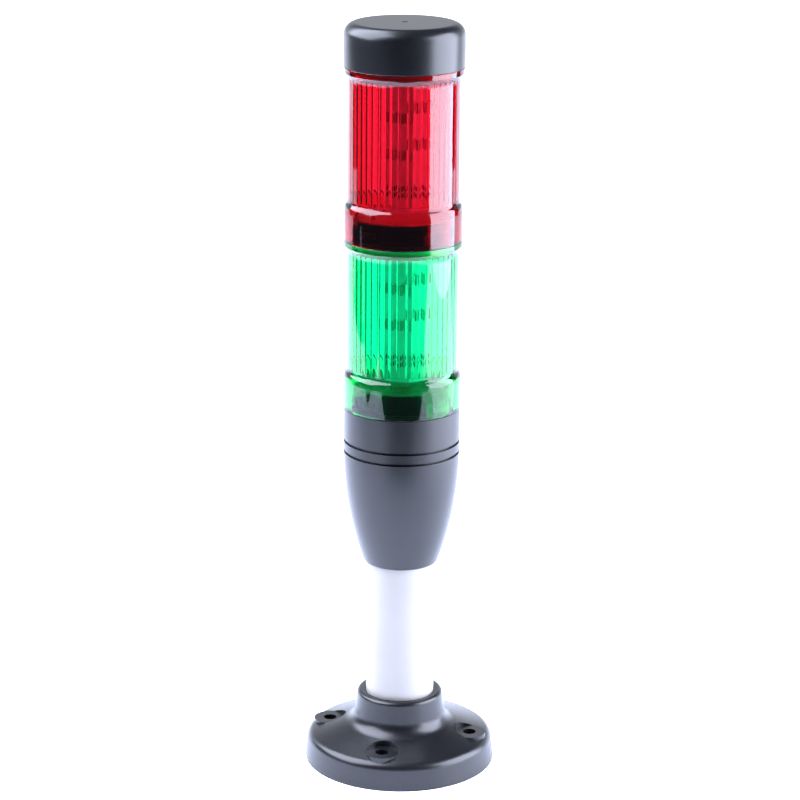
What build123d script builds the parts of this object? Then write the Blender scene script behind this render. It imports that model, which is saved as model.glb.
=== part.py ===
from build123d import *
from math import cos, radians, sin, tan
import os

# Signal tower of the 40 mm class: foot, tube, cone housing, terminal head, two lamp modules and a cap.
# Sizes are in millimetres. Z is the axis of the tower, and the origin is the centre of the foot's underside.
# The foot's screw holes lie on the X and Y axes.

# Clearances
tube_fit = 0.05
press_gap = 0.05
board_gap = 0.1
turn_gap = 0.3
lug_gap = 0.3

# Foot
foot_radius = 35.0
foot_lean = 1.0
foot_edge_height = 9.5
foot_edge_fillet = 3.0
dome_slope = 17.5
dome_wall = 3.2
rim_wall = 4.2
hub_wall = 3.2
foot_collar_radius = 16.95
foot_collar_lean = 1.3
foot_cove = 5.5
foot_height = 26.3
foot_top_fillet = 1.4
foot_rib = 2.0
foot_rib_lift = 1.0
cable_way_radius = 9.5
tube_seat = 6.0
tube_lead_in = 0.5

# Screw pads of the foot
screw_circle = 53.5
screw_count = 4
screw_hole_radius = 2.4
pad_radius = 5.9
pad_height = 11.6

# Foot gasket
gasket_width = 1.8
gasket_depth = 1.5
gasket_inset = 1.2

# Tube
tube_radius = 12.5
tube_wall = 1.5
tube_length = 100.0
tube_chamfer = 0.3

# Set screws
set_screw_radius = 2.0
set_screw_socket = 1.0
set_screw_socket_depth = 1.6
set_screw_recess = 0.5
set_screw_angle = 135.0
foot_screw_drop = 5.8
housing_screw_lift = 7.0

# Cone housing
housing_grip = 28.7
housing_height = 41.85
housing_foot_radius = 13.6
housing_top_radius = 21.0
housing_bulge = 130.0
housing_foot_fillet = 0.8
housing_wall = 2.1
sleeve_wall = 2.1
sleeve_lip = 1.4
sleeve_lip_radius = 11.0
pocket_floor = 15.0

# Seam lines between the black housings
seam_height = 1.0
seam_depth = 1.0
adapter_height = 3.0
adapter_skirt_depth = 7.0
adapter_skirt_wall = 2.0

# Bayonet coupling, measured up from the plane where two pieces meet
stack_radius = 21.0
lock_collar_radius = 16.0
lock_collar_wall = 2.0
lock_collar_height = 5.9
lug_count = 4
lug_reach = 1.4
lug_bottom = 3.1
lug_height = 1.9
lug_span = 16.0
lock_turn = 20.0
slot_slack = 1.0
socket_height = 6.3
stack_angle = 20.0

# Flat seal in each coupling
seal_height = 1.2
seal_width = 1.7

# Terminal head
head_height = 11.9
head_step = 0.3
head_step_depth = 0.6

# Contact rings and pins
contact_radii = (0.0, 3.6, 7.2, 10.0, 12.8)
pin_angles = (0.0, 0.0, 180.0, 150.0, 210.0)
contact_width = 1.6
contact_height = 0.5
pin_radius = 0.65
pin_stand = 0.6

# Terminal block
terminal_count = 5
terminal_pitch = 4.6
terminal_depth = 11.0
terminal_height = 7.1
terminal_end = 0.8
wire_hole_radius = 1.2
wire_row = 2.6
clamp_width = 3.6
clamp_height = 4.0
clamp_end = 1.0
terminal_screw_radius = 1.25
terminal_head_radius = 1.6
terminal_head_height = 1.4
terminal_screw_slot = 0.5
terminal_screw_recess = 0.4

# Lens of a lamp module
module_height = 61.45
ring_radius = 21.2
ring_inner_radius = 18.1
ring_height = 10.75
ring_step = 0.05
shoulder_rise = 0.9
shoulder_lean = 3.0
shoulder_slope = 43.0
shoulder_bulge = 2.7
lens_radius = 19.9
lens_wall = 2.1
cove_height = 3.3
flange_radius = 21.25
flange_height = 1.85
coupling_ledge = 1.5
coupling_ledge_radius = 16.5
rib_count = 48
rib_radius = 2.0
rib_rise = 0.3
rib_lift = 0.4

# Base of a lamp module
base_lip_height = 3.0
base_lip_depth = 0.35
base_floor = 1.0
base_post_radius = 2.0
base_post_height = 0.3
base_post_circle = 13.5

# Coupling on top of a lamp module
coupling_flange = 1.5
coupling_plug = 1.95

# Circuit boards and lamps
round_board_radius = 16.4
round_board_height = 1.0
column_half = 4.4
column_wall = 1.0
column_foot = 2.0
column_shift = 1.6
led_board_thickness = 1.0
led_width = 2.8
led_height = 3.5
led_thickness = 1.0
led_spread = 4.4
led_pitch = 13.0
led_rows = 2
led_lift = 4.4
led_stagger = 3.7
resistor_width = 0.9
resistor_height = 1.5
resistor_thickness = 0.6
resistor_pitch = 2.4
resistor_rows = 2
resistor_columns = 3
resistor_first = 8.2
bus_radius = 0.4
bus_pitch = 1.4
bus_offset = 2.6

# Cap
cap_height = 15.45
cap_foot_radius = 21.22
cap_wide_radius = 21.36
cap_wide_height = 6.0
cap_top_radius = 21.2
cap_fillet = 4.2
cap_foot_fillet = 0.25
cap_wall = 2.4
cap_hollow_radius = 15.0
gate_radius = 1.2
gate_depth = 0.12

# Heights of the pieces above the foot's underside
tube_top = tube_seat + tube_length
housing_bottom = tube_top - housing_grip
housing_top = housing_bottom + housing_height
adapter_bottom = housing_top + seam_height
adapter_top = adapter_bottom + adapter_height
head_bottom = adapter_top + seam_height
head_top = head_bottom + head_height
module_bottoms = {"green": head_top, "red": head_top + module_height}
cap_bottom = head_top + 2 * module_height

# Sizes that follow from the fits
tube_bore = tube_radius + tube_fit
sleeve_radius = tube_bore + sleeve_wall
socket_radius = lock_collar_radius + turn_gap
lug_radius = lock_collar_radius + lug_reach
slot_radius = lug_radius + turn_gap
slot_bottom = lug_bottom - lug_gap
slot_top = lug_bottom + lug_height + lug_gap
seal_inner = lock_collar_radius + press_gap
seal_outer = seal_inner + seal_width
seal_room = seal_height + board_gap
relief_radius = seal_outer + press_gap
column_outer = column_half + led_board_thickness
base_radius = ring_inner_radius - board_gap
base_floor_top = socket_height + base_floor
board_bottom = base_floor_top + base_post_height
board_top = board_bottom + round_board_height
board_recess = round_board_radius + board_gap
lens_inner = lens_radius - lens_wall
ledge_top = module_height - coupling_flange
column_top = ledge_top - coupling_plug
column_middle = (column_top - board_top) / 2

os.makedirs("parts", exist_ok=True)


def write_piece(builder, name):
    """Names a finished piece and writes it to its own file."""
    builder.part.label = name
    export_step(builder.part, f"parts/{name}.step")


def turned(points, fillets=()):
    """Closed half section, from (radius, height) points, with some corners rounded."""
    with BuildSketch(Plane.XZ) as half:
        with BuildLine():
            Polyline(*points, close=True)
        make_face()
        for corner, radius in fillets:
            fillet(half.vertices().sort_by_distance((*corner, 0))[0], radius=radius)
    return half.sketch


def tube_section(outer, inner, bottom, top):
    """Half section of a plain ring."""
    return turned([(inner, bottom), (outer, bottom), (outer, top), (inner, top)])


def wedges(inner, outer, start, end, count, turn):
    """Flat ring sectors from start to end degrees, repeated around the axis."""
    reach = outer / cos(radians(abs(end - start) / 2)) + 1
    with BuildSketch() as sectors:
        with PolarLocations(0, count, start_angle=turn):
            Polygon(
                (0, 0),
                (reach * cos(radians(start)), reach * sin(radians(start))),
                (reach * cos(radians(end)), reach * sin(radians(end))),
                align=None,
            )
        Circle(outer, mode=Mode.INTERSECT)
        Circle(inner, mode=Mode.SUBTRACT)
    return sectors.sketch


# The lugs point along the stack's diagonals. A piece comes off when it is turned anticlockwise from above.
lock_angle = stack_angle + 45
half_lug = lug_span / 2
lug_root = lock_collar_radius - lock_collar_wall / 2
lug_shape = wedges(lug_root, lug_radius, -half_lug, half_lug, lug_count, lock_angle)
track_start = -half_lug - slot_slack - lock_turn
entry_end = half_lug + slot_slack - lock_turn


def slot_shapes(inner, outer):
    """Sectors of the bayonet slot: its level track and its way in from below."""
    track = wedges(inner, outer, track_start, half_lug + slot_slack, lug_count, lock_angle)
    entry = wedges(inner, outer, track_start, entry_end, lug_count, lock_angle)
    return track, entry


def level(height):
    return Location((0, 0, height))


# Foot

def dome_height(radius):
    """Height of the foot's sloping top at a radius."""
    return foot_edge_height + (foot_radius - foot_lean - radius) * tan(radians(dome_slope))


hub_radius = tube_bore + hub_wall
cavity_radius = foot_radius - rim_wall

with BuildPart() as foot_cavity:
    revolve(
        turned([
            (hub_radius, 0),
            (cavity_radius, 0),
            (cavity_radius, dome_height(cavity_radius) - dome_wall),
            (hub_radius, dome_height(hub_radius) - dome_wall),
        ]),
        axis=Axis.Z,
    )
    with BuildSketch(Plane.XY.offset(foot_rib_lift)):
        with PolarLocations(0, screw_count):
            Rectangle(2 * foot_radius, foot_rib)
    extrude(amount=foot_height, mode=Mode.SUBTRACT)
    with BuildSketch():
        with PolarLocations(screw_circle / 2, screw_count):
            Circle(pad_radius)
    extrude(amount=foot_height, mode=Mode.SUBTRACT)

gasket_outer = foot_radius - gasket_inset
gasket_inner = gasket_outer - gasket_width
foot_screw_height = foot_height - foot_screw_drop
screw_way = (cos(radians(set_screw_angle)), sin(radians(set_screw_angle)), 0)
foot_edge = (foot_radius - foot_lean, foot_edge_height)
foot_corner = (foot_collar_radius, dome_height(foot_collar_radius))
foot_shoulder = (foot_collar_radius - foot_collar_lean, foot_height)

with BuildPart() as foot:
    revolve(
        turned(
            [(0, 0), (foot_radius, 0), foot_edge, foot_corner, foot_shoulder, (0, foot_height)],
            [(foot_edge, foot_edge_fillet), (foot_corner, foot_cove), (foot_shoulder, foot_top_fillet)],
        ),
        axis=Axis.Z,
    )
    add(foot_cavity.part, mode=Mode.SUBTRACT)
    with BuildSketch(Plane.XY.offset(pad_height / 2)):
        with PolarLocations(screw_circle / 2, screw_count):
            Circle(pad_radius)
    extrude(amount=pad_height / 2)
    with BuildSketch(Plane.XY.offset(pad_height)):
        with PolarLocations(screw_circle / 2, screw_count):
            Circle(pad_radius)
    extrude(amount=foot_height, mode=Mode.SUBTRACT)
    with BuildSketch():
        with PolarLocations(screw_circle / 2, screw_count):
            Circle(screw_hole_radius)
    extrude(amount=foot_height, mode=Mode.SUBTRACT)
    with BuildSketch(Plane.XY.offset(tube_seat)):
        Circle(tube_bore)
    extrude(amount=foot_height, mode=Mode.SUBTRACT)
    with BuildSketch():
        Circle(cable_way_radius)
    extrude(amount=foot_height, mode=Mode.SUBTRACT)
    revolve(
        turned([
            (tube_bore - tube_lead_in, foot_height),
            (tube_bore, foot_height - tube_lead_in),
            (tube_bore + tube_lead_in, foot_height),
        ]),
        axis=Axis.Z,
        mode=Mode.SUBTRACT,
    )
    revolve(
        tube_section(gasket_outer, gasket_inner, 0, gasket_depth),
        axis=Axis.Z,
        mode=Mode.SUBTRACT,
    )
    with BuildSketch(Plane(origin=(0, 0, foot_screw_height), z_dir=screw_way)):
        Circle(set_screw_radius + press_gap)
    extrude(amount=foot_radius, mode=Mode.SUBTRACT)
write_piece(foot, "foot")

with BuildPart() as foot_gasket:
    revolve(
        tube_section(gasket_outer - press_gap, gasket_inner + press_gap, 0, gasket_depth - board_gap),
        axis=Axis.Z,
    )
write_piece(foot_gasket, "foot_gasket")

# Tube

with BuildPart() as tube:
    revolve(tube_section(tube_radius, tube_radius - tube_wall, tube_seat, tube_top), axis=Axis.Z)
    chamfer(tube.edges().group_by(Axis.Z)[0] + tube.edges().group_by(Axis.Z)[-1], length=tube_chamfer)
write_piece(tube, "tube")


def set_screw(height, outer):
    """Grub screw with a hexagon socket, from the tube's wall to just below a surface."""
    start = tube_radius + press_gap
    length = outer - set_screw_recess - start
    with BuildPart() as screw:
        with BuildSketch(Plane(origin=(screw_way[0] * start, screw_way[1] * start, height), z_dir=screw_way)):
            Circle(set_screw_radius)
        extrude(amount=length)
        end = start + length
        with BuildSketch(Plane(origin=(screw_way[0] * end, screw_way[1] * end, height), z_dir=screw_way)):
            RegularPolygon(set_screw_socket, 6)
        extrude(amount=-set_screw_socket_depth, mode=Mode.SUBTRACT)
    return screw


foot_wall_at_screw = foot_collar_radius - foot_collar_lean * (foot_screw_height - foot_corner[1]) / (
    foot_height - foot_corner[1]
)
write_piece(set_screw(foot_screw_height, foot_wall_at_screw), "foot_set_screw")

# Cone housing


def housing_radius(height):
    """Outer radius of the cone housing, an arc through its foot and its top."""
    low = Vector(housing_foot_radius, housing_bottom)
    chord = Vector(housing_top_radius, housing_top) - low
    rise = (housing_bulge**2 - (chord.length / 2) ** 2) ** 0.5
    centre = low + chord * 0.5 + chord.rotate(Axis.Z, 90).normalized() * rise
    return centre.X + (housing_bulge**2 - (height - centre.Y) ** 2) ** 0.5


housing_screw_height = housing_bottom + housing_screw_lift
pocket_bottom = housing_bottom + pocket_floor
mouth_bottom = housing_top - adapter_skirt_depth - board_gap
housing_mouth = housing_radius(mouth_bottom) - housing_wall
housing_foot = (housing_foot_radius, housing_bottom)

with BuildPart() as base_housing:
    with BuildSketch(Plane.XZ) as housing_half:
        with BuildLine():
            RadiusArc((housing_top_radius, housing_top), (housing_foot_radius, housing_bottom), housing_bulge)
            Polyline(
                (housing_foot_radius, housing_bottom),
                (0, housing_bottom),
                (0, housing_top),
                (housing_top_radius, housing_top),
            )
        make_face()
        fillet(housing_half.vertices().sort_by_distance((*housing_foot, 0))[0], radius=housing_foot_fillet)
    revolve(axis=Axis.Z)
    with BuildSketch(Plane.XZ):
        with BuildLine():
            RadiusArc(
                (housing_mouth, mouth_bottom),
                (housing_radius(pocket_bottom) - housing_wall, pocket_bottom),
                housing_bulge - housing_wall,
            )
            Polyline(
                (housing_radius(pocket_bottom) - housing_wall, pocket_bottom),
                (sleeve_radius, pocket_bottom),
                (sleeve_radius, tube_top + sleeve_lip),
                (0, tube_top + sleeve_lip),
                (0, housing_top),
                (housing_mouth, housing_top),
                (housing_mouth, mouth_bottom),
            )
        make_face()
    revolve(axis=Axis.Z, mode=Mode.SUBTRACT)
    with BuildSketch(Plane.XY.offset(housing_bottom)):
        Circle(tube_bore)
    extrude(amount=housing_grip, mode=Mode.SUBTRACT)
    with BuildSketch(Plane.XY.offset(tube_top)):
        Circle(sleeve_lip_radius)
    extrude(amount=housing_height, mode=Mode.SUBTRACT)
    with BuildSketch(Plane(origin=(0, 0, housing_screw_height), z_dir=screw_way)):
        Circle(set_screw_radius + press_gap)
    extrude(amount=foot_radius, mode=Mode.SUBTRACT)
write_piece(base_housing, "base_housing")
write_piece(set_screw(housing_screw_height, housing_radius(housing_screw_height)), "housing_set_screw")

# Adapter ring: its skirt stands in the housing's mouth and its collar carries the head

seam_radius = stack_radius - seam_depth
collar_inner = lock_collar_radius - lock_collar_wall
skirt_radius = housing_mouth - board_gap

with BuildPart() as adapter_ring:
    revolve(
        turned([
            (skirt_radius - adapter_skirt_wall, housing_top - adapter_skirt_depth),
            (skirt_radius, housing_top - adapter_skirt_depth),
            (skirt_radius, housing_top),
            (seam_radius, housing_top),
            (seam_radius, adapter_bottom),
            (stack_radius, adapter_bottom),
            (stack_radius, adapter_top),
            (seam_radius, adapter_top),
            (seam_radius, head_bottom),
            (lock_collar_radius, head_bottom),
            (lock_collar_radius, head_bottom + lock_collar_height),
            (collar_inner, head_bottom + lock_collar_height),
            (collar_inner, housing_top),
            (skirt_radius - adapter_skirt_wall, housing_top),
        ]),
        axis=Axis.Z,
    )
    extrude(lug_shape.moved(level(head_bottom + lug_bottom)), amount=lug_height)
write_piece(adapter_ring, "adapter_ring")


def seal(height):
    """Flat rubber ring around the collar of the piece below."""
    with BuildPart() as ring:
        revolve(tube_section(seal_outer, seal_inner, height, height + seal_height), axis=Axis.Z)
    return ring


write_piece(seal(head_bottom), "adapter_seal")
write_piece(seal(head_top), "head_seal")

# Terminal head

with BuildPart() as terminal_head:
    revolve(
        turned([
            (0, head_bottom + socket_height),
            (socket_radius, head_bottom + socket_height),
            (socket_radius, head_bottom + seal_room),
            (relief_radius, head_bottom + seal_room),
            (relief_radius, head_bottom),
            (stack_radius, head_bottom),
            (stack_radius, head_top - head_step),
            (stack_radius - head_step_depth, head_top - head_step),
            (stack_radius - head_step_depth, head_top),
            (lock_collar_radius, head_top),
            (lock_collar_radius, head_top + lock_collar_height),
            (collar_inner, head_top + lock_collar_height),
            (collar_inner, head_top),
            (0, head_top),
        ]),
        axis=Axis.Z,
    )
    extrude(lug_shape.moved(level(head_top + lug_bottom)), amount=lug_height)
    track, entry = slot_shapes(socket_radius - turn_gap, slot_radius)
    extrude(track.moved(level(head_bottom + slot_bottom)), amount=slot_top - slot_bottom, mode=Mode.SUBTRACT)
    extrude(entry.moved(level(head_bottom)), amount=slot_top, mode=Mode.SUBTRACT)
write_piece(terminal_head, "terminal_head")


def contact_rings(height):
    """Round tracks that the contact pins of the piece above slide on."""
    with BuildPart() as rings:
        with BuildSketch(Plane.XY.offset(height)):
            for radius in sorted(contact_radii, reverse=True):
                Circle(radius + contact_width / 2)
                if radius > contact_width / 2:
                    Circle(radius - contact_width / 2, mode=Mode.SUBTRACT)
        extrude(amount=contact_height)
    return rings


# Terminal block, hung from the underside of the head

block_top = head_bottom + socket_height
block_bottom = block_top - terminal_height
block_length = (terminal_count - 1) * terminal_pitch + clamp_width + 2 * board_gap + 2 * terminal_end
clamp_bottom = block_top - clamp_height - board_gap
stack_plane = Plane.XY.rotated((0, 0, stack_angle))

with BuildPart() as terminal_block:
    with BuildSketch(stack_plane.offset(block_bottom)):
        Rectangle(block_length, terminal_depth)
    extrude(amount=terminal_height)
    chamfer(terminal_block.edges().filter_by(Axis.Z), length=terminal_end / 2)
    with BuildSketch(stack_plane.offset(clamp_bottom)):
        with GridLocations(terminal_pitch, 0, terminal_count, 1):
            Rectangle(clamp_width + 2 * board_gap, terminal_depth - 2 * clamp_end)
    extrude(amount=terminal_height, mode=Mode.SUBTRACT)
    with BuildSketch(stack_plane.offset(block_bottom)):
        with Locations((0, -wire_row)):
            with GridLocations(terminal_pitch, 0, terminal_count, 1):
                Circle(wire_hole_radius)
        with Locations((0, wire_row)):
            with GridLocations(terminal_pitch, 0, terminal_count, 1):
                Circle(terminal_head_radius + board_gap)
    extrude(amount=clamp_bottom - block_bottom, mode=Mode.SUBTRACT)
write_piece(terminal_block, "terminal_block")

with BuildPart() as wire_clamps:
    with BuildSketch(stack_plane.offset(clamp_bottom)):
        with GridLocations(terminal_pitch, 0, terminal_count, 1):
            Rectangle(clamp_width, terminal_depth - 2 * clamp_end - 2 * board_gap)
        with Locations((0, -wire_row)):
            with GridLocations(terminal_pitch, 0, terminal_count, 1):
                Circle(wire_hole_radius, mode=Mode.SUBTRACT)
        with Locations((0, wire_row)):
            with GridLocations(terminal_pitch, 0, terminal_count, 1):
                Circle(terminal_screw_radius + press_gap, mode=Mode.SUBTRACT)
    extrude(amount=clamp_height)
write_piece(wire_clamps, "wire_clamps")

with BuildPart() as terminal_screws:
    with BuildSketch(stack_plane.offset(block_bottom + terminal_screw_recess)):
        with Locations((0, wire_row)):
            with GridLocations(terminal_pitch, 0, terminal_count, 1):
                Circle(terminal_head_radius)
    extrude(amount=terminal_head_height)
    with BuildSketch(stack_plane.offset(block_bottom + terminal_screw_recess)):
        with Locations((0, wire_row)):
            with GridLocations(terminal_pitch, 0, terminal_count, 1):
                Circle(terminal_screw_radius)
    extrude(amount=block_top - block_bottom - terminal_screw_recess - clamp_height / 4)
    with BuildSketch(stack_plane.offset(block_bottom + terminal_screw_recess)):
        with Locations((0, wire_row)):
            with GridLocations(terminal_pitch, 0, terminal_count, 1):
                Rectangle(2 * terminal_head_radius, terminal_screw_slot)
    extrude(amount=terminal_head_height / 2, mode=Mode.SUBTRACT)
write_piece(terminal_screws, "terminal_screws")
write_piece(contact_rings(head_top), "head_contacts")

# Lamp modules

column_centre = Vector(column_shift, 0).rotate(Axis.Z, stack_angle)


def column_plane(height, turn=0.0):
    """Level plane on the lamp column's own axis, turned to one of its faces."""
    return Plane(
        origin=(column_centre.X, column_centre.Y, height),
        x_dir=(cos(radians(lock_angle + turn)), sin(radians(lock_angle + turn)), 0),
        z_dir=(0, 0, 1),
    )


def pin_points():
    """Places of the contact pins, one above each contact ring."""
    return [
        (radius * cos(radians(stack_angle + angle)), radius * sin(radians(stack_angle + angle)))
        for radius, angle in zip(contact_radii, pin_angles)
    ]


def make_lens(bottom):
    """Clear coloured hood in one piece: ring, shoulder, ribbed wall, cove and flange."""
    lean = radians(shoulder_lean)
    slope = radians(shoulder_slope)
    shoulder_foot = (ring_radius - ring_step, ring_height)
    shoulder_low = (shoulder_foot[0] - shoulder_rise * tan(lean), ring_height + shoulder_rise)
    shoulder_middle = (
        shoulder_low[0] - shoulder_bulge * (cos(lean) - cos(slope)),
        shoulder_low[1] + shoulder_bulge * (sin(slope) - sin(lean)),
    )
    shoulder_fillet = (shoulder_middle[0] - lens_radius) / (1 - cos(slope))
    wall_foot = (lens_radius, shoulder_middle[1] + shoulder_fillet * sin(slope))
    flange_bottom = module_height - flange_height
    seat = board_top + board_gap
    with BuildPart() as lens:
        with BuildSketch(Plane.XZ):
            with BuildLine():
                Polyline(
                    (lens_inner, seat),
                    (ring_inner_radius, seat),
                    (ring_inner_radius, 0),
                    (ring_radius, 0),
                    (ring_radius, ring_height),
                    shoulder_foot,
                    shoulder_low,
                )
                TangentArc(shoulder_low, shoulder_middle, tangent=(-sin(lean), cos(lean)))
                TangentArc(shoulder_middle, wall_foot, tangent=(-sin(slope), cos(slope)))
                Line(wall_foot, (lens_radius, flange_bottom - cove_height))
                TangentArc(
                    (lens_radius, flange_bottom - cove_height), (flange_radius, flange_bottom), tangent=(0, 1)
                )
                Polyline(
                    (flange_radius, flange_bottom),
                    (flange_radius, module_height),
                    (lens_inner, module_height),
                    (lens_inner, ledge_top),
                    (coupling_ledge_radius, ledge_top),
                    (coupling_ledge_radius, ledge_top - coupling_ledge),
                    (lens_inner, ledge_top - coupling_ledge),
                    (lens_inner, seat),
                )
            make_face()
        revolve(axis=Axis.Z)
        rib_bottom = wall_foot[1] + rib_lift
        with BuildSketch(Plane.XY.offset(rib_bottom)):
            with PolarLocations(lens_inner + rib_radius - rib_rise, rib_count, start_angle=stack_angle):
                Circle(rib_radius)
            Circle(lens_inner + lens_wall / 2, mode=Mode.INTERSECT)
        extrude(amount=ledge_top - coupling_ledge - rib_bottom)
    lens.part.position += (0, 0, bottom)
    return lens


def make_base(bottom):
    """Black base in the ring: slotted skirt, and a cup with posts and pin holes for the round board."""
    with BuildPart() as base:
        revolve(
            turned([
                (0, socket_height),
                (socket_radius, socket_height),
                (socket_radius, seal_room),
                (base_radius - base_lip_depth, seal_room),
                (base_radius - base_lip_depth, base_lip_height),
                (base_radius, base_lip_height),
                (base_radius, board_top),
                (board_recess, board_top),
                (board_recess, base_floor_top),
                (0, base_floor_top),
            ]),
            axis=Axis.Z,
        )
        with BuildSketch(Plane.XY.offset(base_floor_top)):
            with PolarLocations(base_post_circle, lug_count, start_angle=stack_angle):
                Circle(base_post_radius)
        extrude(amount=base_post_height)
        track, entry = slot_shapes(socket_radius - turn_gap, stack_radius)
        extrude(track.moved(level(slot_bottom)), amount=slot_top - slot_bottom, mode=Mode.SUBTRACT)
        extrude(entry.moved(level(0)), amount=slot_top, mode=Mode.SUBTRACT)
        with BuildSketch():
            with Locations(*pin_points()):
                Circle(pin_radius + press_gap)
        extrude(amount=board_top, mode=Mode.SUBTRACT)
    base.part.position += (0, 0, bottom)
    return base


def make_pins(bottom):
    """Contact pins through the base and the round board, their tips above the rings below."""
    tip = contact_height + turn_gap
    with BuildPart() as pins:
        with BuildSketch(Plane.XY.offset(bottom + tip)):
            with Locations(*pin_points()):
                Circle(pin_radius)
        extrude(amount=board_top + pin_stand - tip)
    return pins


def make_round_board(bottom):
    """Round board on the base, with holes for the pins."""
    with BuildPart() as board:
        with BuildSketch(Plane.XY.offset(bottom + board_bottom)):
            Circle(round_board_radius)
            with Locations(*pin_points()):
                Circle(pin_radius + press_gap, mode=Mode.SUBTRACT)
        extrude(amount=round_board_height)
    return board


def make_column(bottom):
    """White square tube that carries the lamp boards, with a plate at each end."""
    with BuildPart() as column:
        with BuildSketch(column_plane(bottom + board_top)):
            Rectangle(2 * column_outer, 2 * column_outer)
        extrude(amount=column_foot)
        with BuildSketch(column_plane(bottom + column_top - column_foot)):
            Rectangle(2 * column_outer, 2 * column_outer)
        extrude(amount=column_foot)
        with BuildSketch(column_plane(bottom + board_top)):
            Rectangle(2 * column_half, 2 * column_half)
        extrude(amount=column_top - board_top)
        with BuildSketch(column_plane(bottom + board_top)):
            Rectangle(2 * (column_half - column_wall), 2 * (column_half - column_wall))
        extrude(amount=column_top - board_top, mode=Mode.SUBTRACT)
    return column


def make_led_board(bottom, turn):
    """Lamp board on one face of the column, covering one of its corners."""
    with BuildPart() as board:
        with BuildSketch(column_plane(bottom + board_top + column_foot, turn)):
            with Locations((column_half + led_board_thickness / 2, -led_board_thickness / 2)):
                Rectangle(led_board_thickness, 2 * column_half + led_board_thickness)
        extrude(amount=column_top - board_top - 2 * column_foot)
    return board


def make_chips(bottom, width, height, thickness, pitch_across, across, first, pitch_up, up, stagger):
    """Small blocks in rows on all four lamp boards."""
    with BuildPart() as chips:
        for face in range(4):
            lowest = bottom + board_top + first - height / 2 + (stagger if face % 2 else 0)
            for row in range(up):
                with BuildSketch(column_plane(lowest + row * pitch_up, 90 * face)):
                    with Locations((column_outer + thickness / 2, 0)):
                        with GridLocations(0, pitch_across, 1, across):
                            Rectangle(thickness, width)
                extrude(amount=height)
    return chips


def make_bus_wires(bottom):
    """Straight conductors inside the column, from the round board to the coupling above."""
    with BuildPart() as wires:
        with BuildSketch(column_plane(bottom + board_top)):
            with Locations((0, bus_offset)):
                with GridLocations(bus_pitch, 0, len(contact_radii), 1):
                    Circle(bus_radius)
        extrude(amount=column_top - board_top)
    return wires


def make_coupling(bottom):
    """Black top of a module: plug and flange in the lens, and the collar with lugs for the next piece."""
    with BuildPart() as coupling:
        revolve(
            turned([
                (0, column_top),
                (coupling_ledge_radius - board_gap, column_top),
                (coupling_ledge_radius - board_gap, ledge_top),
                (lens_inner - board_gap, ledge_top),
                (lens_inner - board_gap, module_height),
                (lock_collar_radius, module_height),
                (lock_collar_radius, module_height + lock_collar_height),
                (collar_inner, module_height + lock_collar_height),
                (collar_inner, module_height),
                (0, module_height),
            ]),
            axis=Axis.Z,
        )
        extrude(lug_shape.moved(level(module_height + lug_bottom)), amount=lug_height)
    coupling.part.position += (0, 0, bottom)
    return coupling


for colour, bottom in module_bottoms.items():
    write_piece(make_lens(bottom), f"{colour}_lens")
    write_piece(make_base(bottom), f"{colour}_base")
    write_piece(make_pins(bottom), f"{colour}_pins")
    write_piece(make_round_board(bottom), f"{colour}_round_board")
    write_piece(make_column(bottom), f"{colour}_column")
    for face in range(4):
        write_piece(make_led_board(bottom, 90 * face), f"{colour}_led_board_{face + 1}")
    leds = make_chips(
        bottom, led_width, led_height, led_thickness, led_spread, 2,
        column_middle + led_lift - (led_rows - 1) * led_pitch / 2, led_pitch, led_rows, led_stagger,
    )
    write_piece(leds, f"{colour}_leds")
    resistors = make_chips(
        bottom, resistor_width, resistor_height, resistor_thickness, resistor_pitch, resistor_columns,
        resistor_first, resistor_pitch, resistor_rows, 0,
    )
    write_piece(resistors, f"{colour}_resistors")
    write_piece(make_bus_wires(bottom), f"{colour}_bus_wires")
    write_piece(make_coupling(bottom), f"{colour}_coupling")
    write_piece(contact_rings(bottom + module_height), f"{colour}_contacts")
    write_piece(seal(bottom + module_height), f"{colour}_seal")

# Cap

cap_top = cap_bottom + cap_height
cap_foot = (cap_foot_radius, cap_bottom)
cap_edge = (cap_top_radius, cap_top)

with BuildPart() as cap:
    with BuildSketch(Plane.XZ) as cap_half:
        with BuildLine():
            Polyline((0, cap_top), (0, cap_bottom), cap_foot)
            ThreePointArc(cap_foot, (cap_wide_radius, cap_bottom + cap_wide_height), cap_edge)
            Line(cap_edge, (0, cap_top))
        make_face()
        fillet(cap_half.vertices().sort_by_distance((*cap_edge, 0))[0], radius=cap_fillet)
        fillet(cap_half.vertices().sort_by_distance((*cap_foot, 0))[0], radius=cap_foot_fillet)
    revolve(axis=Axis.Z)
    revolve(
        turned([
            (0, cap_bottom),
            (relief_radius, cap_bottom),
            (relief_radius, cap_bottom + seal_room),
            (socket_radius, cap_bottom + seal_room),
            (socket_radius, cap_bottom + socket_height),
            (cap_hollow_radius, cap_bottom + socket_height),
            (cap_hollow_radius, cap_top - cap_wall),
            (0, cap_top - cap_wall),
        ]),
        axis=Axis.Z,
        mode=Mode.SUBTRACT,
    )
    track, entry = slot_shapes(socket_radius - turn_gap, slot_radius)
    extrude(track.moved(level(cap_bottom + slot_bottom)), amount=slot_top - slot_bottom, mode=Mode.SUBTRACT)
    extrude(entry.moved(level(cap_bottom)), amount=slot_top, mode=Mode.SUBTRACT)
    with BuildSketch(Plane.XY.offset(cap_top)):
        Circle(gate_radius)
    extrude(amount=-gate_depth, mode=Mode.SUBTRACT)
write_piece(cap, "cap")
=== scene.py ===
import math

import bpy
from mathutils import Matrix, Vector


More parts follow.
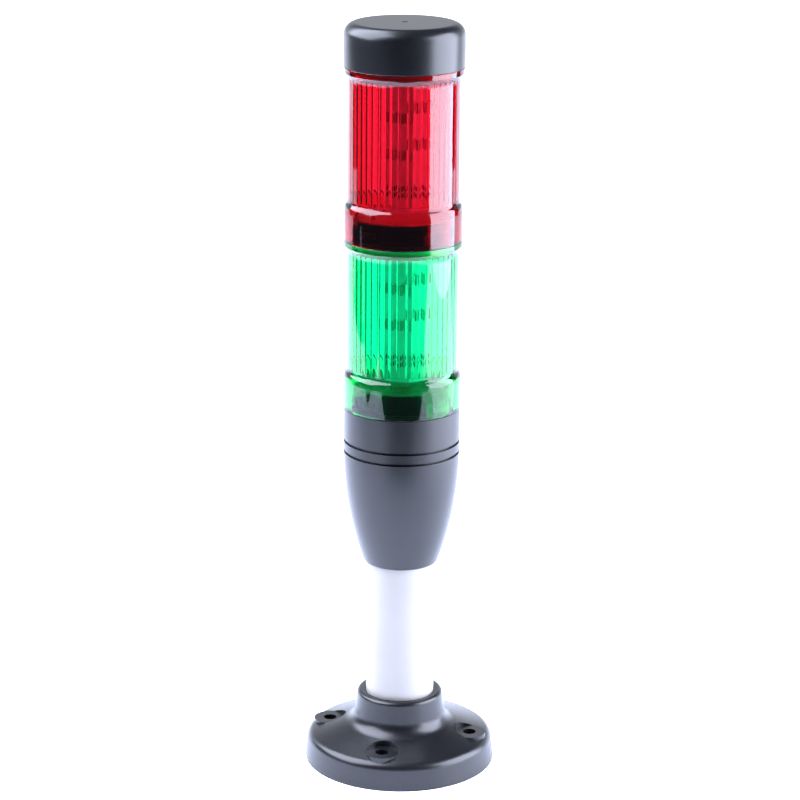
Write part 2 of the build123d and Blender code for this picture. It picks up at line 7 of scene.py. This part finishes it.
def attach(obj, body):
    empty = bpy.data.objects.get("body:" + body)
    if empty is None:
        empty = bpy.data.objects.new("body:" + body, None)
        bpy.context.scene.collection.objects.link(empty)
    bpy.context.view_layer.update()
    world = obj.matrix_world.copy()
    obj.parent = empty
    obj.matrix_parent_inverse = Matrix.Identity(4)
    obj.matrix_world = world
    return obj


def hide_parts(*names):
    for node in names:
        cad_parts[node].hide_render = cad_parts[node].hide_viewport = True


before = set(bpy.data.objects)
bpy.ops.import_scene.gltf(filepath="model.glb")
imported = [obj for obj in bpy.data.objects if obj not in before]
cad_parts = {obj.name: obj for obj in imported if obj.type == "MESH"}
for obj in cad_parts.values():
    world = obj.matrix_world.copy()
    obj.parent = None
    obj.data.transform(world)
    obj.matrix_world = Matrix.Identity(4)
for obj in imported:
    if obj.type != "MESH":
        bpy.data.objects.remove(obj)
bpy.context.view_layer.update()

# Heights and angles of the tower in millimetres and degrees, the same values as in part.py
HEAD_TOP = 136.05
MODULE_HEIGHT = 61.45
MODULE_BOTTOMS = {"green": HEAD_TOP, "red": HEAD_TOP + MODULE_HEIGHT}
STACK_ANGLE = 20.0

# Ring and shoulder of the lamp hood, measured up from the module's bottom
RING_RADIUS = 21.2
RING_INNER_RADIUS = 18.1
RING_HEIGHT = 10.75
RING_STEP = 0.05
SHOULDER_RISE = 0.9
SHOULDER_LEAN = 3.0
SHOULDER_SLOPE = 43.0
SHOULDER_BULGE = 2.7
SEAT_HEIGHT = 8.7

# Wall, cove and flange of the lamp hood, and the ledge that the coupling stands on
LENS_RADIUS = 19.9
LENS_INNER_RADIUS = 17.8
COVE_HEIGHT = 3.3
FLANGE_RADIUS = 21.25
FLANGE_HEIGHT = 1.85
COUPLING_FLANGE = 1.5
LEDGE_RADIUS = 16.5
LEDGE_THICKNESS = 1.5

# Shallow round ribs inside the wall
RIB_COUNT = 48
RIB_RADIUS = 2.0
RIB_RISE = 0.3
RIB_LIFT = 0.4
RIB_END = 0.05

# Small fillets of the hood, and how far its foot stands clear of the piece below
FOOT_CLEARANCE = 0.03
FOOT_FILLET = 0.15
RING_TOP_FILLET = 0.045
FLANGE_FILLET = 0.12
LEDGE_FILLET = 0.1

# Fineness of the hood's mesh
FILLET_STEPS = 5
SHOULDER_STEPS = 10
COVE_STEPS = 12
STEPS_PER_RIB = 16
BRACE_REACH = 0.12
LONG_RUN = 4 * BRACE_REACH
SHARP_ANGLE = 32

# The photograph was taken from this side of the part, and the studio's lights stand as the camera sees them
CAMERA_AZIMUTH = 13.75
CAMERA_SPOT = (-0.68, -950.4, 419.5)
CAMERA_PITCH = 16.51
CAMERA_ROLL = 0.44
CAMERA_LENS = 123.74
CAMERA_SENSOR = 36.0

# Floor and soft lights of the studio, with places as (right, back) or (right, back, up) in millimetres
FLOOR = [(-4000, -4000), (4000, -4000), (4000, 4000), (-4000, 4000)]
LIGHT_COLOUR = (0.76, 0.82, 1.0)
RIGHT_PANEL = [(700, -518), (700, 326)]
RIGHT_PANEL_TOP = 880
RIGHT_GLOW = [(430, -420), *RIGHT_PANEL, (430, 326)]
RIGHT_FADE = [(330, -420), (430, -420), (430, -230), (370, -230)]
GLOW_HEIGHT = 3
BACK_GLOW = [(-1200, 1200), (1200, 1200)]
BACK_GLOW_TOP = 300
LEFT_PANEL = [(-829, -415, 385), (-294, -509, 989), (-130, 419, 989), (-665, 513, 385)]
LEFT_LINE = [(-650, -40), (-650, -12)]
LEFT_LINE_TOP = 60

# Dark screens behind, above and around the part, with the bearings of the curved ones in degrees
DARK_COLOUR = (0.62, 0.7, 1.0)
DARK_TOP = 1450
DARK_BACK = [(-1300, 1250), (1300, 1250)]
DARK_BACK_BOTTOM = 720
DARK_CEILING = [(-1300, -1300), (1300, -1300), (1300, 1250), (-1300, 1250)]
DARK_FRONT_ANGLES = (-125, 53.5)
DARK_GAP_ANGLES = (115, 130)
WALL_DISTANCE = 1100
WALL_BOTTOM = -100
WALL_STEP = 15

# Dark screens that lie on the table
DARK_HEIGHT = 2
DARK_TABLE = [(-1100, -1100), (900, -1100), (900, -390), (-1100, -390)]
DARK_TONGUE = [(-150, -390), (150, -390), (150, -270), (-150, -270)]
DARK_LEFT = [(-1100, -390), (-450, -390), (-450, -170), (-600, -60), (-600, 330), (-1100, 330)]

# Noise values lie mostly between these two, and features are about 1/scale metres large
NOISE_LOW = 0.3
NOISE_HIGH = 0.7
CLOUD_SCALE = 60
CLOUD_DETAIL = 3.0
GRAIN_SCALE = 2500
GRAIN_DETAIL = 2.0
GRAIN_DEPTH = 0.00002

# Darkest and lightest tone of the solid materials
BLACK = ((0.0025, 0.0028, 0.0036), (0.0045, 0.005, 0.0062))
RUBBER = ((0.012, 0.012, 0.012), (0.02, 0.02, 0.02))
COATING = ((0.35, 0.33, 0.31), (0.37, 0.35, 0.33))
STEEL = ((0.5, 0.5, 0.52), (0.6, 0.6, 0.62))
GREY = ((0.3, 0.31, 0.32), (0.34, 0.35, 0.36))
BRASS = ((0.7, 0.5, 0.22), (0.78, 0.58, 0.28))
BOARD = ((0.012, 0.08, 0.03), (0.018, 0.1, 0.04))
PALE = ((0.78, 0.79, 0.78), (0.84, 0.85, 0.84))
WHITE = ((0.8, 0.8, 0.8), (0.86, 0.86, 0.86))
CREAM = ((0.4, 0.4, 0.33), (0.46, 0.45, 0.38))
CHIP = ((0.05, 0.05, 0.05), (0.07, 0.07, 0.07))

# A coupling is pale up to this far above its plate
PLATE_MARGIN = 0.1

# Sockets of a Mix node for colours
MIX_FACTOR = 0
MIX_LOW = 6
MIX_HIGH = 7
MIX_RESULT = 2


def studio_point(right, back, up):
    """A point in metres from millimetres to the right of the part, behind it and above the floor."""
    turn = Matrix.Rotation(math.radians(CAMERA_AZIMUTH), 4, "Z")
    return turn @ (Vector((right, back, up)) / 1000)


def make_camera():
    data = bpy.data.cameras.new("camera")
    data.sensor_width = CAMERA_SENSOR
    data.lens = CAMERA_LENS
    data.clip_start = 0.05
    data.clip_end = 20.0
    camera = bpy.data.objects.new("camera", data)
    bpy.context.scene.collection.objects.link(camera)
    camera.location = studio_point(*CAMERA_SPOT)
    turn = Matrix.Rotation(math.radians(CAMERA_AZIMUTH), 3, "Z")
    tilt = Matrix.Rotation(math.radians(90 - CAMERA_PITCH), 3, "X")
    roll = Matrix.Rotation(math.radians(CAMERA_ROLL), 3, "Z")
    camera.rotation_euler = (turn @ tilt @ roll).to_euler()
    bpy.context.scene.camera = camera


def make_world():
    world = bpy.data.worlds.new("studio")
    world.use_nodes = True
    background = world.node_tree.nodes["Background"]
    background.inputs["Color"].default_value = (0.9, 0.94, 1.0, 1)
    background.inputs["Strength"].default_value = 1.15
    world.cycles.sampling_method = "NONE"
    bpy.context.scene.world = world
    bpy.context.scene.view_settings.view_transform = "Standard"


def link(item, node_output, socket):
    item.node_tree.links.new(node_output, socket)


def new_material(name):
    material = bpy.data.materials.new(name)
    material.use_nodes = True
    return material, material.node_tree.nodes["Principled BSDF"]


def noise(material, scale, detail):
    """Noise in the part's own space."""
    nodes = material.node_tree.nodes
    place = nodes.new("ShaderNodeTexCoord")
    texture = nodes.new("ShaderNodeTexNoise")
    texture.inputs["Scale"].default_value = scale
    texture.inputs["Detail"].default_value = detail
    link(material, place.outputs["Object"], texture.inputs["Vector"])
    return texture.outputs["Fac"]


def between(material, factor, low, high):
    """A value that follows a noise from low to high."""
    spread = material.node_tree.nodes.new("ShaderNodeMapRange")
    spread.inputs["From Min"].default_value = NOISE_LOW
    spread.inputs["From Max"].default_value = NOISE_HIGH
    spread.inputs["To Min"].default_value = low
    spread.inputs["To Max"].default_value = high
    link(material, factor, spread.inputs["Value"])
    return spread.outputs["Result"]


def two_tones(material, factor, low, high):
    """A colour that follows a noise from low to high."""
    mix = material.node_tree.nodes.new("ShaderNodeMix")
    mix.data_type = "RGBA"
    mix.inputs[MIX_LOW].default_value = (*low, 1)
    mix.inputs[MIX_HIGH].default_value = (*high, 1)
    link(material, between(material, factor, 0, 1), mix.inputs[MIX_FACTOR])
    return mix.outputs[MIX_RESULT]


def add_bump(material, shader, factor, strength, distance):
    bump = material.node_tree.nodes.new("ShaderNodeBump")
    bump.inputs["Strength"].default_value = strength
    bump.inputs["Distance"].default_value = distance
    link(material, factor, bump.inputs["Height"])
    link(material, bump.outputs["Normal"], shader.inputs["Normal"])


def surface(name, tones, roughness, bump=0.15, metallic=0.0):
    """Solid material with faint cloudiness, uneven gloss and a fine grain."""
    material, shader = new_material(name)
    cloud = noise(material, CLOUD_SCALE, CLOUD_DETAIL)
    grain = noise(material, GRAIN_SCALE, GRAIN_DETAIL)
    link(material, two_tones(material, cloud, *tones), shader.inputs["Base Color"])
    link(material, between(material, grain, *roughness), shader.inputs["Roughness"])
    shader.inputs["Metallic"].default_value = metallic
    add_bump(material, shader, grain, bump, GRAIN_DEPTH)
    return material


def clear_plastic(name, colour, density):
    """Clear moulded plastic, coloured through its thickness."""
    material, shader = new_material(name)
    shader.inputs["Base Color"].default_value = (1, 1, 1, 1)
    shader.inputs["Transmission Weight"].default_value = 1.0
    shader.inputs["Roughness"].default_value = 0.0
    shader.inputs["IOR"].default_value = 1.5
    absorption = material.node_tree.nodes.new("ShaderNodeVolumeAbsorption")
    absorption.inputs["Color"].default_value = (*colour, 1)
    absorption.inputs["Density"].default_value = density
    output = material.node_tree.nodes["Material Output"]
    link(material, absorption.outputs["Volume"], output.inputs["Volume"])
    return material


def coupling_plastic(name, plate_top):
    """Plastic of a coupling, with a pale plate up to a height in millimetres and a black collar above it."""
    material = surface(name, PALE, roughness=(0.3, 0.4))
    nodes = material.node_tree.nodes
    shader = nodes["Principled BSDF"]
    plate_colour = shader.inputs["Base Color"].links[0].from_socket
    place = nodes.new("ShaderNodeTexCoord")
    split = nodes.new("ShaderNodeSeparateXYZ")
    above = nodes.new("ShaderNodeMath")
    above.operation = "GREATER_THAN"
    above.inputs[1].default_value = (plate_top + PLATE_MARGIN) / 1000
    mix = nodes.new("ShaderNodeMix")
    mix.data_type = "RGBA"
    mix.inputs[MIX_HIGH].default_value = (*BLACK[1], 1)
    link(material, place.outputs["Object"], split.inputs[0])
    link(material, split.outputs["Z"], above.inputs[0])
    link(material, above.outputs[0], mix.inputs[MIX_FACTOR])
    link(material, plate_colour, mix.inputs[MIX_LOW])
    link(material, mix.outputs[MIX_RESULT], shader.inputs["Base Color"])
    return material


def make_materials():
    """Materials of the part, by material slot."""
    return {
        "housing_black": surface("housing_black_plastic", BLACK, roughness=(0.28, 0.35)),
        "inner_black": surface("inner_black_plastic", BLACK, roughness=(0.14, 0.2)),
        "rubber_black": surface("rubber", RUBBER, roughness=(0.7, 0.85), bump=0.3),
        "tube_white": surface("tube_coating", COATING, roughness=(0.38, 0.46), bump=0.05),
        "screw_steel": surface("steel", STEEL, roughness=(0.25, 0.35), metallic=1.0),
        "block_grey": surface("block_plastic", GREY, roughness=(0.45, 0.55)),
        "contact_brass": surface("brass", BRASS, roughness=(0.2, 0.32), metallic=1.0),
        "board_green": surface("board_lacquer", BOARD, roughness=(0.25, 0.35)),
        "board_white": surface("white_board_lacquer", PALE, roughness=(0.3, 0.4)),
        "column_white": surface("column_plastic", WHITE, roughness=(0.4, 0.5)),
        "led_cream": surface("lamp_chip", CREAM, roughness=(0.2, 0.3)),
        "chip_black": surface("chip_body", CHIP, roughness=(0.35, 0.45)),
        "green_clear": clear_plastic("green_clear_plastic", (0.016, 0.92, 0.74), density=1400),
        "red_clear": clear_plastic("red_clear_plastic", (0.89, 0.22, 0.4), density=1500),
    }


def finish_solids(materials):
    """Gives each solid of the part its material."""
    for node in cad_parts.values():
        for index, old in enumerate(list(node.data.materials)):
            node.data.materials[index] = materials[old.name.split(".")[0]]

    # The photograph shows colour through each flange and the red shoulder, so what lies behind them is pale
    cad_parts["red_round_board"].data.materials[0] = materials["board_white"]
    for colour, bottom in MODULE_BOTTOMS.items():
        plastic = coupling_plastic(f"{colour}_coupling_plastic", bottom + MODULE_HEIGHT)
        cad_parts[f"{colour}_coupling"].data.materials[0] = plastic


def rounded(points):
    """Turns (radius, height, fillet) corners of a closed outline into a fine outline."""
    outline = []
    count = len(points)
    for index, corner in enumerate(points):
        here = Vector(corner[:2])
        size = corner[2] if len(corner) > 2 else 0
        if not size:
            outline.append(tuple(here))
            continue
        before = (Vector(points[index - 1][:2]) - here).normalized()
        after = (Vector(points[(index + 1) % count][:2]) - here).normalized()
        half = before.angle(after) / 2
        centre = here + (before + after).normalized() * size / math.sin(half)
        first = here + before * size / math.tan(half)
        sweep = (first - centre).angle_signed(here + after * size / math.tan(half) - centre)
        for step in range(FILLET_STEPS + 1):
            turned = (first - centre).copy()
            turned.rotate(Matrix.Rotation(-sweep * step / FILLET_STEPS, 2))
            outline.append(tuple(centre + turned))
    return outline


def arc(centre, radius, start, end, steps):
    """Points on an arc about a centre, from one angle to another in degrees."""
    points = []
    for step in range(steps + 1):
        angle = math.radians(start + (end - start) * step / steps)
        points.append((centre[0] + radius * math.cos(angle), centre[1] + radius * math.sin(angle)))
    return points


def braced(outline):
    """Adds points near both ends of the outline's long straight runs, so that flat walls shade flat."""
    made = []
    for index, here in enumerate(outline):
        after = outline[(index + 1) % len(outline)]
        made.append(here)
        run = Vector(after) - Vector(here)
        if run.length > LONG_RUN:
            made.append(tuple(Vector(here) + run.normalized() * BRACE_REACH))
            made.append(tuple(Vector(after) - run.normalized() * BRACE_REACH))
    return made


def spun(name, outline, segments, radius_at):
    """Mesh from a closed (radius, height) outline in millimetres, spun about the Z axis.
    radius_at gives each point's radius from its place in the outline, its plain radius and its angle."""
    vertices = []
    faces = []
    count = len(outline)
    for segment in range(segments):
        angle = math.tau * segment / segments
        for index, (plain_radius, height) in enumerate(outline):
            radius = radius_at(index, plain_radius, angle)
            across = (radius * math.cos(angle) / 1000, radius * math.sin(angle) / 1000)
            vertices.append((*across, height / 1000))
    for segment in range(segments):
        here = segment * count
        there = (segment + 1) % segments * count
        for index in range(count):
            after = (index + 1) % count
            faces.append((here + index, there + index, there + after, here + after))
    mesh = bpy.data.meshes.new(name)
    mesh.from_pydata(vertices, [], faces)
    mesh.validate()
    for polygon in mesh.polygons:
        polygon.use_smooth = True
    mesh.set_sharp_from_angle(angle=math.radians(SHARP_ANGLE))
    return mesh


def rib_depth(angle):
    """How far the shallow round ribs stand in from the lens's inner wall at an angle."""
    pitch = math.tau / RIB_COUNT
    offset = (angle - math.radians(STACK_ANGLE) + pitch / 2) % pitch - pitch / 2
    centre = LENS_INNER_RADIUS + RIB_RADIUS - RIB_RISE
    half = math.sqrt(RIB_RADIUS**2 - (centre * math.sin(offset)) ** 2)
    return max(0.0, LENS_INNER_RADIUS - centre * math.cos(offset) + half)


def shoulder_points():
    """Points of the hood's shoulder: it rounds over from the ring and then runs up into the wall."""
    lean = math.radians(SHOULDER_LEAN)
    slope = math.radians(SHOULDER_SLOPE)
    foot = RING_RADIUS - RING_STEP
    over = (
        foot - SHOULDER_RISE * math.tan(lean) - SHOULDER_BULGE * math.cos(lean),
        RING_HEIGHT + SHOULDER_RISE - SHOULDER_BULGE * math.sin(lean),
    )
    bulge = arc(over, SHOULDER_BULGE, SHOULDER_LEAN, SHOULDER_SLOPE, SHOULDER_STEPS)
    fillet = (bulge[-1][0] - LENS_RADIUS) / (1 - math.cos(slope))
    under = (LENS_RADIUS + fillet, bulge[-1][1] + fillet * math.sin(slope))
    return [(foot, RING_HEIGHT), *bulge, *arc(under, fillet, 180 + SHOULDER_SLOPE, 180, SHOULDER_STEPS)[1:]]


def cove_points(flange_bottom):
    """Points of the hollow curve that runs out from the hood's wall to its flange."""
    reach = FLANGE_RADIUS - LENS_RADIUS
    radius = (reach**2 + COVE_HEIGHT**2) / (2 * reach)
    sweep = math.degrees(math.asin(COVE_HEIGHT / radius))
    centre = (LENS_RADIUS + radius, flange_bottom - COVE_HEIGHT)
    return arc(centre, radius, 180, 180 - sweep, COVE_STEPS)


def hood_mesh(colour, bottom):
    """Clear hood of a lamp module: ring, shoulder, wall with ribs inside, cove and flange."""
    flange_bottom = MODULE_HEIGHT - FLANGE_HEIGHT
    ledge_top = MODULE_HEIGHT - COUPLING_FLANGE
    ledge_bottom = ledge_top - LEDGE_THICKNESS
    shoulder = shoulder_points()
    rib_bottom = shoulder[-1][1] + RIB_LIFT

    # The last two brace points lie on the run that would close this part of the outline, and are dropped
    outline = braced(rounded([
        (RING_INNER_RADIUS, FOOT_CLEARANCE, FOOT_FILLET),
        (RING_RADIUS, FOOT_CLEARANCE, FOOT_FILLET),
        (RING_RADIUS, RING_HEIGHT, RING_TOP_FILLET),
        *shoulder,
        *cove_points(flange_bottom)[:-1],
        (FLANGE_RADIUS, flange_bottom, FLANGE_FILLET),
        (FLANGE_RADIUS, MODULE_HEIGHT, FLANGE_FILLET),
        (LENS_INNER_RADIUS, MODULE_HEIGHT, LEDGE_FILLET),
        (LENS_INNER_RADIUS, ledge_top, LEDGE_FILLET),
        (LEDGE_RADIUS, ledge_top, LEDGE_FILLET),
        (LEDGE_RADIUS, ledge_bottom, LEDGE_FILLET),
    ]))[:-2]

    # The ribs run between the first two of these points
    ribbed = (len(outline), len(outline) + 1)
    outline += [
        (LENS_INNER_RADIUS, ledge_bottom),
        (LENS_INNER_RADIUS, rib_bottom),
        (LENS_INNER_RADIUS, rib_bottom - RIB_END),
        (LENS_INNER_RADIUS, SEAT_HEIGHT),
        (RING_INNER_RADIUS, SEAT_HEIGHT),
    ]
    outline = [(radius, height + bottom) for radius, height in outline]

    def with_ribs(index, radius, angle):
        return radius - rib_depth(angle) if index in ribbed else radius

    return spun(f"{colour}_hood", outline, RIB_COUNT * STEPS_PER_RIB, with_ribs)


def add_piece(mesh, body, material, replaced):
    piece = bpy.data.objects.new(mesh.name, mesh)
    bpy.context.scene.collection.objects.link(piece)
    mesh.materials.append(material)
    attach(piece, body)
    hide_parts(*replaced)


def make_floor():
    mesh = bpy.data.meshes.new("floor")
    mesh.from_pydata([studio_point(*corner, 0) for corner in FLOOR], [], [(0, 1, 2, 3)])
    floor = bpy.data.objects.new("floor", mesh)
    bpy.context.scene.collection.objects.link(floor)
    material, shader = new_material("pale_floor")
    shader.inputs["Base Color"].default_value = (0.74, 0.79, 0.95, 1)
    shader.inputs["Roughness"].default_value = 0.6
    shader.inputs["Emission Color"].default_value = (0.83, 0.88, 0.98, 1)
    shader.inputs["Emission Strength"].default_value = 1.35
    mesh.materials.append(material)


def new_glow(name, colour, strength):
    """Material that only glows, with its glow and its output node."""
    material, shader = new_material(name)
    nodes = material.node_tree.nodes
    nodes.remove(shader)
    glow = nodes.new("ShaderNodeEmission")
    glow.inputs["Color"].default_value = (*colour, 1)
    glow.inputs["Strength"].default_value = strength
    return material, glow, nodes["Material Output"]


def light_glow(name, strength):
    material, glow, output = new_glow(name, LIGHT_COLOUR, strength)
    link(material, glow.outputs[0], output.inputs["Surface"])
    return material


def dark_glow(name, strength):
    """Glow that darkens only what is reflected or scattered, not what is seen straight through plastic."""
    material, glow, output = new_glow(name, DARK_COLOUR, strength)
    nodes = material.node_tree.nodes
    path = nodes.new("ShaderNodeLightPath")
    turned_aside = nodes.new("ShaderNodeMath")
    turned_aside.operation = "ADD"
    turned_aside.use_clamp = True
    mix = nodes.new("ShaderNodeMixShader")
    clear = nodes.new("ShaderNodeBsdfTransparent")
    link(material, path.outputs["Glossy Depth"], turned_aside.inputs[0])
    link(material, path.outputs["Diffuse Depth"], turned_aside.inputs[1])
    link(material, turned_aside.outputs[0], mix.inputs[0])
    link(material, clear.outputs[0], mix.inputs[1])
    link(material, glow.outputs[0], mix.inputs[2])
    link(material, mix.outputs[0], output.inputs["Surface"])
    return material


def card(name, corners, material):
    """Flat panel of the studio, with corners as the camera sees them, that the camera itself doesn't see."""
    mesh = bpy.data.meshes.new(name)
    mesh.from_pydata([studio_point(*corner) for corner in corners], [], [tuple(range(len(corners)))])
    mesh.materials.append(material)
    panel = bpy.data.objects.new(name, mesh)
    bpy.context.scene.collection.objects.link(panel)
    panel.visible_camera = False
    panel.visible_shadow = False


def soft_light(name, corners, strength):
    card(name, corners, light_glow(name, strength))


def dark_screen(name, corners, strength):
    card(name, corners, dark_glow(name, strength))


def upright(ends, bottom, top):
    """Corners of an upright card between two places on the floor."""
    first, last = ends
    return [(*first, bottom), (*last, bottom), (*last, top), (*first, top)]


def lying(places, height):
    """Corners of a card that lies at a height over places on the floor."""
    return [(*place, height) for place in places]


def bearing(angle):
    """Foot of the curved screens at an angle to the right of the camera's side, as (right, back)."""
    turned = math.radians(angle)
    return WALL_DISTANCE * math.sin(turned), -WALL_DISTANCE * math.cos(turned)


def dark_wall(name, start, end, strength):
    """Curved upright screen from one bearing to another."""
    count = max(1, round(abs(end - start) / WALL_STEP))
    for part in range(count):
        first = bearing(start + (end - start) * part / count)
        last = bearing(start + (end - start) * (part + 1) / count)
        dark_screen(f"{name}_{part}", upright((first, last), WALL_BOTTOM, DARK_TOP), strength)


def make_studio():
    """Soft lights at both sides and low behind, in a room that is dark in front, above and high behind."""
    soft_light("right_light", upright(RIGHT_PANEL, 0, RIGHT_PANEL_TOP), strength=13)
    soft_light("right_glow", lying(RIGHT_GLOW, GLOW_HEIGHT), strength=7)
    soft_light("right_fade", lying(RIGHT_FADE, GLOW_HEIGHT), strength=2.5)
    soft_light("back_glow", upright(BACK_GLOW, 0, BACK_GLOW_TOP), strength=3.5)
    soft_light("left_light", LEFT_PANEL, strength=12)
    dark_screen("dark_back", upright(DARK_BACK, DARK_BACK_BOTTOM, DARK_TOP), strength=0.2)
    dark_wall("dark_front", *DARK_FRONT_ANGLES, strength=0.12)
    dark_wall("dark_gap", *DARK_GAP_ANGLES, strength=0.1)
    soft_light("left_line", upright(LEFT_LINE, 0, LEFT_LINE_TOP), strength=2.5)
    dark_screen("dark_table", lying(DARK_TABLE, DARK_HEIGHT), strength=0.12)
    dark_screen("dark_tongue", lying(DARK_TONGUE, DARK_HEIGHT), strength=0.6)
    dark_screen("dark_left", lying(DARK_LEFT, DARK_HEIGHT), strength=0.12)
    dark_screen("dark_ceiling", lying(DARK_CEILING, DARK_TOP), strength=0.15)


make_camera()
make_world()
make_floor()
make_studio()

materials = make_materials()
finish_solids(materials)
for colour, bottom in MODULE_BOTTOMS.items():
    mesh = hood_mesh(colour, bottom)
    add_piece(mesh, f"{colour}_module", materials[f"{colour}_clear"], [f"{colour}_lens"])
